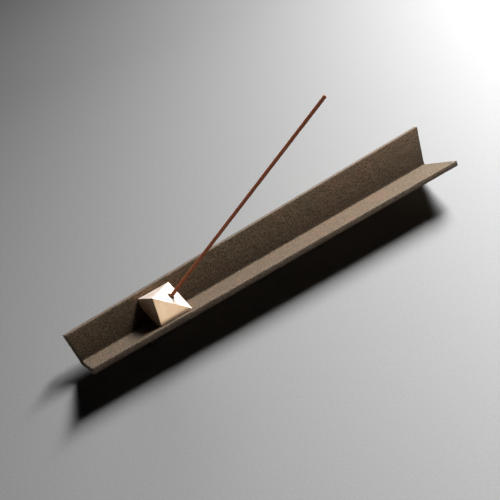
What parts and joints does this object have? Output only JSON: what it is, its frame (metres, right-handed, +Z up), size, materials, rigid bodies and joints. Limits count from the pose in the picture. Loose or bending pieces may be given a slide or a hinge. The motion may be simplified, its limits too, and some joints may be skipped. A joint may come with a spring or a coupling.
{
  "type": "incense burner",
  "caption": "Tapered iron trough of square-folded plate on low plate feet, with a sliding brass pyramid that holds a leaning incense stick over it to catch the ash.",
  "frame": {"origin": "on the table, under the middle of the trough", "axes": "+X along the trough to its wide end, +Y to the back, +Z up"},
  "size_m": [0.2762, 0.04, 0.1302],
  "materials": {
    "iron": "matt granular brown-black oxide skin",
    "brass": "pale satin, finely brushed",
    "incense": "matt pressed powder"
  },
  "bodies": {
    "trough": {"trough": "iron", "left_foot": "iron", "right_foot": "iron"},
    "holder": {"stick_holder": "brass"},
    "stick": {"incense_stick": "incense"}
  },
  "joints": [
    {"name": "holder_slide", "type": "slide", "parent": "trough", "child": "holder", "axis": [1, 0, 0], "range_m": [-0.0405, 0.2075]},
    {"name": "stick_pull", "type": "slide", "parent": "holder", "child": "stick", "axis": [0.5878, 0, 0.809], "range_m": [0, 0.012]}
  ]
}
